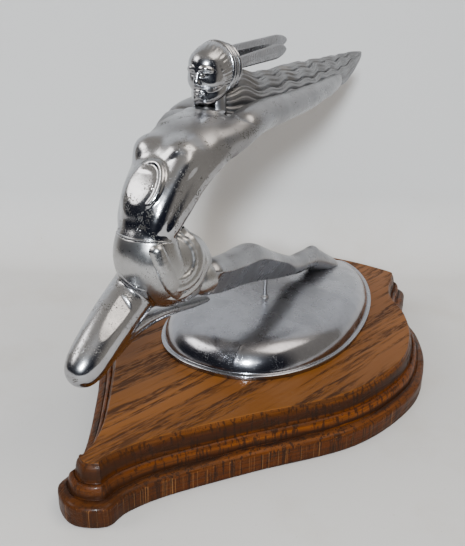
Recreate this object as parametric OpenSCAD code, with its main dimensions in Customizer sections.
// Chrome-plated hood ornament, a leaping maiden, mounted on a shaped oak plaque.
// Frame: +Z up, the figure faces -Y, origin at the middle of the plaque's underside.

/* [Plaque] */
// Length of the plaque, front lobe to rear edge
plaque_l = 227; // [215:1:240]
// Greatest width of the plaque
plaque_w = 139; // [130:1:150]
// Thickness of the oak board
plaque_t = 19; // [18:0.5:22]
// How far the top edge stands in from the outline
lip_inset = 8; // [7:0.5:9]

/* [Base shell] */
// Length of the teardrop base
base_l = 141; // [135:1:147]
// Width of the teardrop base
base_w = 81; // [76:1:86]
// Height of the dome above the plaque
dome_h = 14; // [13.5:0.25:14.5]
// Wall of the cast dome
shell_t = 2; // [1.6:0.2:2.4]

/* [Fasteners] */
// Diameter of the two mounting studs
stud_d = 6; // [5:0.5:6]
// Distance between the two mounting studs
stud_pitch = 56; // [50:1:60]
// Diameter of the screw that holds the rear foot
foot_screw_d = 3; // [2.5:0.5:4]
// Diameter of the support post under the rear leg
post_d = 2.4; // [2:0.2:3]

/* [Figure] */
// Height of the head, chin to crown
head_h = 19; // [18:0.5:20]
// Breadth of the chest
chest_w = 28; // [26:0.5:30]
// Breadth of the waist
waist_w = 19; // [18:0.5:20]
// Thickness of the thighs
thigh_d = 13; // [12:0.5:14]
// Thickness of the upper arms
arm_d = 8.4; // [8:0.2:9]
// Number of locks down each side of the hair
locks = 6; // [4:1:7]

/* [Hidden] */

chrome = [0.78, 0.79, 0.82];
oak = [0.50, 0.29, 0.11];
steel = [0.55, 0.56, 0.58];

slim = 0.2;           // thickness of the slices that a limb is stretched over
slice_fn = 18;        // sides of a slice

// ---- plaque outline: half of it, front lobe to rear edge, as parts of the width and length
plaque_half = [
    [0, -0.5], [0.072, -0.478], [0.083, -0.438], [0.13, -0.379], [0.255, -0.269], [0.432, -0.121],
    [0.5, 0.035], [0.475, 0.156], [0.403, 0.258], [0.317, 0.328], [0.281, 0.383], [0.266, 0.427],
    [0.232, 0.476], [0.122, 0.494], [0, 0.5],
];
// height and inset of the moulded edge, as parts of the thickness and of the lip's inset
moulding = [
    [0, 0.05], [0.04, 0], [0.33, 0], [0.4, 0.09], [0.44, 0.3], [0.45, 0.42], [0.55, 0.46], [0.64, 0.53],
    [0.68, 0.64], [0.67, 0.74], [0.8, 0.8], [0.9, 0.87], [0.95, 0.94], [1, 1],
];
// size and height of the dome's rings, as parts of the base outline and of the dome's height
dome_rings = [
    [1, 0], [1, 0.09], [0.976, 0.12], [0.967, 0.145], [0.953, 0.32], [0.923, 0.54], [0.868, 0.74],
    [0.78, 0.875], [0.62, 0.95], [0.36, 0.988], [0.2, 1],
];
base_mid = 10.5;      // where the base is widest
base_front = -40.5;   // front edge of the base
stud_y = [base_mid - stud_pitch / 2 + 4, base_mid + stud_pitch / 2 + 4];
stud_play = 0.6;      // the studs' holes through the board are this much wider than the studs
counterbore_d = 16;
counterbore_h = 9;
washer_t = 1.5;
nut_af = 10;          // across the flats
nut_h = 5;
foot_at = [2, 70];    // where the rear foot is screwed to the dome
post_at = [1, 8];     // where the support post stands

// ---- small helpers
function mirrored(half) = concat(half, [for (i = [len(half) - 2:-1:1]) [-half[i].x, half[i].y]]);
function spline(a, b, c, d, t) = 0.5 * (2 * b + (c - a) * t + (2 * a - 5 * b + 4 * c - d) * t * t
    + (3 * b - a - 3 * c + d) * t * t * t);
function rounded(loop, steps) = let (n = len(loop)) [
    for (i = [0:n - 1], k = [0:steps - 1])
        spline(loop[(i + n - 1) % n], loop[i], loop[(i + 1) % n], loop[(i + 2) % n], k / steps)
];
function unit(v) = v / norm(v);
function inset(loop, by) = let (n = len(loop)) [
    for (i = [0:n - 1]) let (along = unit(loop[(i + 1) % n] - loop[(i + n - 1) % n]))
        loop[i] + by * [-along.y, along.x]
];
function at_height(loop, z) = [for (p = loop) [p.x, p.y, z]];

// Closed solid over a list of rings with equal numbers of points, bottom ring first
module skin(rings) {
    n = len(rings[0]);
    last = len(rings) - 1;
    sides = [for (r = [0:last - 1], i = [0:n - 1], half = [0, 1])
        let (a = r * n + i, b = r * n + (i + 1) % n)
            half == 0 ? [a, a + n, b + n] : [a, b + n, b]];
    polyhedron(
        points = [for (ring = rings, p = ring) p],
        faces = concat([[for (i = [0:n - 1]) i]], sides, [[for (i = [n - 1:-1:0]) last * n + i]])
    );
}

// A limb: stations are [x, y, z, half width, half depth] along its middle line
function lean(s, i) = let (
    d = s[min(i + 1, len(s) - 1)] - s[max(i - 1, 0)]
) atan2(-d[1], d[2]);
module slice(s, i)
    translate([s[i][0], s[i][1], s[i][2]]) rotate([lean(s, i), 0, 0])
        scale([s[i][3], s[i][4], 1]) cylinder(h = slim, r = 1, center = true, $fn = slice_fn);
function smooth(s) = let (n = len(s) - 1) [
    for (i = [0:n], k = i < n ? [0, 0.5] : [0])
        spline(s[max(i - 1, 0)], s[i], s[min(i + 1, n)], s[min(i + 2, n)], k)
];
module limb(stations) {
    s = smooth(stations);
    for (i = [0:len(s) - 2]) hull() { slice(s, i); slice(s, i + 1); }
}

// ---- outlines
plaque_loop = rounded(mirrored([for (p = plaque_half) [p.x * plaque_w, p.y * plaque_l]]), 3);
function base_half_width(t) = base_w / 2 * (t < 0 ? pow(1 - t * t, 0.42) : pow(1 - t * t, 0.7));
function base_point(a, k) = let (
    c = cos(a),
    reach = c < 0 ? base_mid - base_front : base_front + base_l - base_mid
) [k * (sin(a) < 0 ? 1 : -1) * base_half_width(c), base_mid + k * reach * c];
base_sides = 48;
function base_ring(k) = [
    for (i = [0:base_sides - 1]) base_point(180 + (i + 0.5) * 360 / base_sides, k)
];

// the dome sinks towards its rear end, and the flange round it stays level
flange_h = 1.6;
rear_fall = 0.7;
function fall(y) = 1 - rear_fall * pow(max(0, (y - 30) / 70), 1.2);
function dome_ring(k, h) = [for (p = base_ring(k))
    [p.x, p.y, plaque_t + min(h, flange_h) + max(h - flange_h, 0) * fall(p.y)]];

// ---- base
module dome_outer()
    skin([for (r = dome_rings) dome_ring(r[0], r[1] * dome_h)]);
module dome_inner() {
    under = [for (r = dome_rings) if (r[1] * dome_h > shell_t)
        [r[0] - 2 * shell_t / base_w, r[1] * dome_h - shell_t]];
    skin(concat([at_height(base_ring(under[0][0]), plaque_t - 1)],
        [for (r = under) dome_ring(r[0], r[1])]));
}

module plaque() color(oak) difference() {
    skin([for (m = moulding) at_height(inset(plaque_loop, m[1] * lip_inset), m[0] * plaque_t)]);
    for (y = stud_y) translate([0, y, 0]) {
        translate([0, 0, -1]) cylinder(h = plaque_t + 2, d = stud_d + stud_play, $fn = 32);
        translate([0, 0, -1]) cylinder(h = counterbore_h + 1, d = counterbore_d, $fn = 32);
    }
}

boss_d = 11;
boss_top = plaque_t + dome_h - shell_t;
module base_shell() color(chrome) difference() {
    union() {
        difference() { dome_outer(); dome_inner(); }
        for (y = stud_y) translate([0, y, plaque_t]) cylinder(h = boss_top - plaque_t, d = boss_d, $fn = 32);
    }
    for (y = stud_y)
        translate([0, y, plaque_t - 1]) cylinder(h = boss_top - plaque_t - 1, d = stud_d, $fn = 32);
    translate([foot_at.x, foot_at.y, plaque_t]) cylinder(h = dome_h + 2, d = foot_screw_d, $fn = 32);
    translate([post_at.x, post_at.y, plaque_t]) cylinder(h = dome_h + 2, d = post_d, $fn = 32);
}

module mounting_studs() color(steel)
    for (y = stud_y) translate([0, y, 1.5]) cylinder(h = boss_top - 4, d = stud_d, $fn = 32);
module stud_washers() color(steel)
    for (y = stud_y) translate([0, y, counterbore_h - washer_t]) difference() {
        cylinder(h = washer_t, d = counterbore_d - 2, $fn = 32);
        translate([0, 0, -1]) cylinder(h = washer_t + 2, d = stud_d, $fn = 32);
    }
module stud_nuts() color(steel)
    for (y = stud_y) translate([0, y, counterbore_h - washer_t - nut_h]) difference() {
        cylinder(h = nut_h, d = nut_af / cos(30), $fn = 6);
        translate([0, 0, -1]) cylinder(h = nut_h + 2, d = stud_d, $fn = 32);
    }

screw_head_z = plaque_t + 1.2;
screw_top = plaque_t + 12;
module foot_screw_solid() translate([foot_at.x, foot_at.y, screw_head_z]) {
    cylinder(h = 2.4, d = foot_screw_d * 1.9, $fn = 32);
    cylinder(h = screw_top - screw_head_z, d = foot_screw_d, $fn = 32);
}
module foot_screw() color(steel) foot_screw_solid();

post_top = 46;
module leg_post_solid() translate([post_at.x, post_at.y, plaque_t + dome_h - shell_t])
    cylinder(h = post_top - plaque_t - dome_h + shell_t, d = post_d, $fn = 32);
module leg_post() color(chrome) leg_post_solid();

// ---- figure: middle lines of its limbs
thigh_r = thigh_d / 2;
arm_r = arm_d / 2;
waist_r = waist_w / 2;
chest_r = chest_w / 2;

torso_line = [
    [0, -71.4, 83.8, waist_r, 7.2], [0, -70, 90, waist_r + 0.3, 7.6], [0, -66, 95, 11.5, 8.6],
    [0, -61.5, 99.5, chest_r - 1, 8.8], [0, -55.5, 104.5, chest_r, 9], [0, -48, 109.5, chest_r + 0.5, 8],
    [0, -41, 113, chest_r - 0.5, 6], [0, -37.5, 115.5, 8, 4.6], [0, -36, 118, 4.6, 4.5],
    [0, -35, 122.5, 4.4, 4.6],
];
pelvis_line = [
    [0, -71.7, 82.2, waist_r + 0.1, 7.4], [0, -71.5, 77, 10.8, 8.8], [0, -69, 71.5, 11.4, 9.6],
    [0, -65, 66.5, 10.4, 9], [0, -61, 62.5, 8, 7], [0, -59, 60, 5, 4.4],
];
rear_leg_line = [
    [8, -54, 65, thigh_r - 1, 5.6], [7.5, -41, 61.4, thigh_r - 1, 5.6], [6.5, -30, 59.4, 5.8, 5.9],
    [5, -16, 57, 6, 6.6], [3.5, -3, 52.2, 5.5, 5.8], [2.5, 14, 46, 4.5, 4.8],
    [2, 31, 40.6, 3.6, 3.4], [2, 40, 39.4, 3.4, 3.6], [2, 49, 38.2, 3.6, 4.4],
    [2, 56, 36, 3.8, 4.6], [2, 64, 32, 4.1, 3.8], [2, 72, 28.6, 4, 2.8], [2, 79, 26.2, 3, 1.4],
];
front_leg_x = -6;
front_thigh_line = [
    [front_leg_x, -64, 67, thigh_r - 0.3, 6.6], [front_leg_x, -72, 62.5, thigh_r, 6.8],
    [front_leg_x, -80.5, 57.5, thigh_r - 0.2, 6.6], [front_leg_x, -88, 52.5, 5.8, 6.2],
    [front_leg_x, -93, 49, 5.2, 5.4], [front_leg_x, -96.5, 46.6, 4.7, 5],
    [front_leg_x, -99.4, 44.6, 3.8, 4], [front_leg_x, -101, 43.6, 2, 2.2],
];
front_shin_line = [
    [front_leg_x, -97, 44.4, 4.2, 3.8], [front_leg_x, -86, 47.5, 4, 4], [front_leg_x, -74, 50.5, 3.6, 3.4],
    [front_leg_x, -62, 50.4, 3.2, 2.6], [front_leg_x, -50, 48.6, 3, 2], [front_leg_x, -38, 46, 2.8, 1.6],
    [front_leg_x, -27, 43.6, 1.6, 1],
];
arm_line = [
    [12, -43, 110.4, 3.2, 4.2], [12.2, -38, 112, arm_r + 0.2, 4.4], [12.2, -28, 114.8, arm_r + 0.2, 4.3],
    [12, -12, 115.9, arm_r, 3.9], [11.6, 4, 116.5, arm_r - 0.4, 3.6], [11, 20, 117.5, 3.5, 3.4],
    [9.6, 36, 118.8, 2.5, 2.5], [8.6, 46, 119.3, 1.8, 2.9], [7.2, 56, 119.7, 1.3, 2.4],
    [6.2, 64, 119.9, 0.6, 1.2],
];
head_c = [0, -33, 131];
head_r = [7.6, 9.8, head_h / 2 - 0.8];

module ball(c, r, fn = 20) translate(c) scale(r) sphere(r = 1, $fn = fn);

module head_solid() {
    hull() {
        ball(head_c, head_r);
        ball([0, -37.5, 124], [4.7, 4.4, 3.8]);
    }
    hull() {
        ball([0, -43, 127.6], [1.3, 1.2, 1], 12);
        ball([0, -41.5, 132], [0.8, 0.9, 0.8], 12);
    }
}
module torso_solid() {
    limb(torso_line);
    for (side = [-1, 1]) hull() {
        ball([side * 6.4, -61.5, 107.2], [4.4, 3.8, 4.4], 14);
        ball([side * 6, -56, 105], [6, 5, 6], 14);
    }
}
module pelvis_solid() limb(pelvis_line);
module front_leg_solid() {
    limb(front_thigh_line);
    limb(front_shin_line);
}
module rear_leg_solid() limb(rear_leg_line);
module arm_solid() limb(arm_line);

module torso() color(chrome) difference() {
    torso_solid();
    head_solid();
    arm_solid();
    mirror([1, 0, 0]) arm_solid();
}
module pelvis() color(chrome) pelvis_solid();
module head() color(chrome) head_solid();
module left_arm() color(chrome) arm_solid();
module right_arm() mirror([1, 0, 0]) left_arm();

belt = [[0, -71.65, 82.3, waist_r + 0.8, 8], [0, -71.45, 83.7, waist_r + 0.6, 7.9]];
module belt_solid() hull() { slice(belt, 0); slice(belt, 1); }
module waistband() color(chrome) belt_solid();

// ---- cloth on the near hip
drape_c = [5, -61, 70.5];
drape_r = [8, 16.5, 12];
drape_tilt = -24;
turns = 1.6;
module drape_body() translate(drape_c) rotate([drape_tilt, 0, 0]) scale(drape_r) sphere(r = 1, $fn = 24);
function fold_point(t) = let (rho = 0.3 + 0.55 * t, a = -60 + 360 * turns * t)
    [drape_r.x * sqrt(1 - rho * rho), drape_r.y * rho * cos(a), drape_r.z * rho * sin(a)];
function fold_ring(p, r) = let (out = unit([0, p.y, p.z]))
    [for (k = [0:7]) p + r * (cos(45 * k) * [1, 0, 0] + sin(45 * k) * out)];
module fold() translate(drape_c) rotate([drape_tilt, 0, 0])
    skin([for (t = [0:1 / 40:1]) fold_ring(fold_point(t), 1.5)]);
module drape_solid() { drape_body(); fold(); }
module hip_drape() color(chrome) difference() {
    drape_solid();
    pelvis_solid();
    torso_solid();
    belt_solid();
    sash_solid();
}
sash_line = [
    [7.5, -76.5, 81, 3, 2.4], [9.2, -75, 76, 2.4, 3.2], [9.8, -72, 70.5, 2.3, 3.6],
    [9.4, -66.5, 65, 2.2, 3.5], [7.5, -60, 61, 2, 2.8], [5, -54.4, 59, 1.2, 1.6],
];
module sash_solid() limb(sash_line);
module sash() color(chrome) difference() { sash_solid(); pelvis_solid(); belt_solid(); torso_solid(); }

module front_leg() color(chrome) difference() {
    front_leg_solid();
    pelvis_solid();
    drape_solid();
    sash_solid();
}
module rear_leg() color(chrome) difference() {
    rear_leg_solid();
    pelvis_solid();
    drape_solid();
    dome_outer();
    leg_post_solid();
    foot_screw_solid();
}

// ---- headband: one ribbed strap over the crown and down both sides of the head
band_y = -29.4;
band_w = 7.6;
band_flare = 0.2;     // the band stands this much further out along its rear edge
band_lift = 1.4;      // the band leaves the curve of the skull this far behind its middle
ribs = 4;
function band_profile(i) = let (u = i / (4 * ribs))
    [(u - 0.5) * band_w, 0.4 + band_flare * u + 0.7 * abs(sin(180 * ribs * u))];
function head_at(y) = sqrt(1 - pow((y - head_c.y) / head_r.y, 2));
function band_ring(a) = let (
    out = [cos(a), 0, sin(a)],
    on = function (y, k, up)
        [head_c.x + (head_r.x * k + up) * cos(a), y, head_c.z + (head_r.z * k + up) * sin(a)],
    front = band_y - band_w / 2,
    rear = band_y + band_w / 2,
    lifted = function (y) head_at(min(y, band_y + band_lift))
) concat(
    [for (i = [0:4 * ribs]) let (p = band_profile(i), y = band_y + p.x) on(y, lifted(y), p.y)],
    [on(rear, head_at(rear), -0.3), on(front, head_at(front), -0.3)]
);
module headband() color(chrome) skin([for (a = [-48:12:228]) band_ring(a)]);

// ---- feathers: flat blades, narrow at the root and round at the tip
function feather_width(t) = t < 0.8 ? 0.74 + 0.33 * t : sqrt(max(1 - pow((t - 0.8) / 0.2, 2), 0.02));
module feather(root, tip, half_h, half_t) skin([
    for (t = [0, 0.1, 0.25, 0.4, 0.55, 0.7, 0.8, 0.87, 0.93, 0.97, 1])
        let (c = root + t * (tip - root), w = feather_width(t))
            [for (a = [0:30:330]) c + [-half_t * (0.4 + 0.6 * w) * cos(a), 0, half_h * w * sin(a)]]
]);
module upper_feather() color(chrome) feather([-1.7, -23.6, 135.6], [-2.2, 24, 138.8], 2.75, 1);
module lower_feather() color(chrome) feather([1.9, -23.2, 132.2], [3, 15, 136], 2.75, 1);

// ---- hair: an arched mane in lengthwise locks that lies over both arms
// each station is the distance along Y, the underside, the top and the half width
mane = [
    [-24.8, 119, 131, 5.6], [-19, 116.6, 130.7, 7.2], [-10, 115.6, 129.2, 8.8], [2, 115.6, 128.5, 9.8],
    [16, 116.2, 129, 10], [30, 116.8, 129.7, 9.6], [45, 117.3, 130, 8.4], [60, 117.6, 130.2, 6.6],
    [72, 118, 130.6, 5], [82, 120.4, 130.8, 3.6], [92, 124.2, 130.8, 2.4], [99, 127.6, 130.6, 1.4],
    [102.4, 129, 130.2, 0.6],
];
mane_steps = 4 * (2 * locks + 1);
hair_room = [0, 0, 0, 0.15, 0.15];   // air between an arm and the hair that lies over it
function mane_ring(s) = [
    for (i = [0:mane_steps])
        let (
            a = 180 * i / mane_steps,
            wave = 12 * sin(s[0] * 9) * sin(a),
            swell = 0.9 + 0.1 * abs(sin((2 * locks + 1) * (a + wave) / 2)),
            x = -s[3] * cos(a) * swell,
            z = s[1] + (s[2] - s[1]) * sin(a) * swell
        ) [x, s[0], z]
];
module hair_solid() skin([for (s = smooth(mane)) mane_ring(s)]);
module hair() color(chrome) difference() {
    hair_solid();
    head_solid();
    torso_solid();
    for (side = [0, 1]) mirror([side, 0, 0]) limb([for (s = arm_line) s + hair_room]);
}

plaque();
base_shell();
mounting_studs();
stud_washers();
stud_nuts();
foot_screw();
leg_post();
rear_leg();
front_leg();
pelvis();
waistband();
hip_drape();
sash();
torso();
left_arm();
right_arm();
head();
headband();
upper_feather();
lower_feather();
hair();
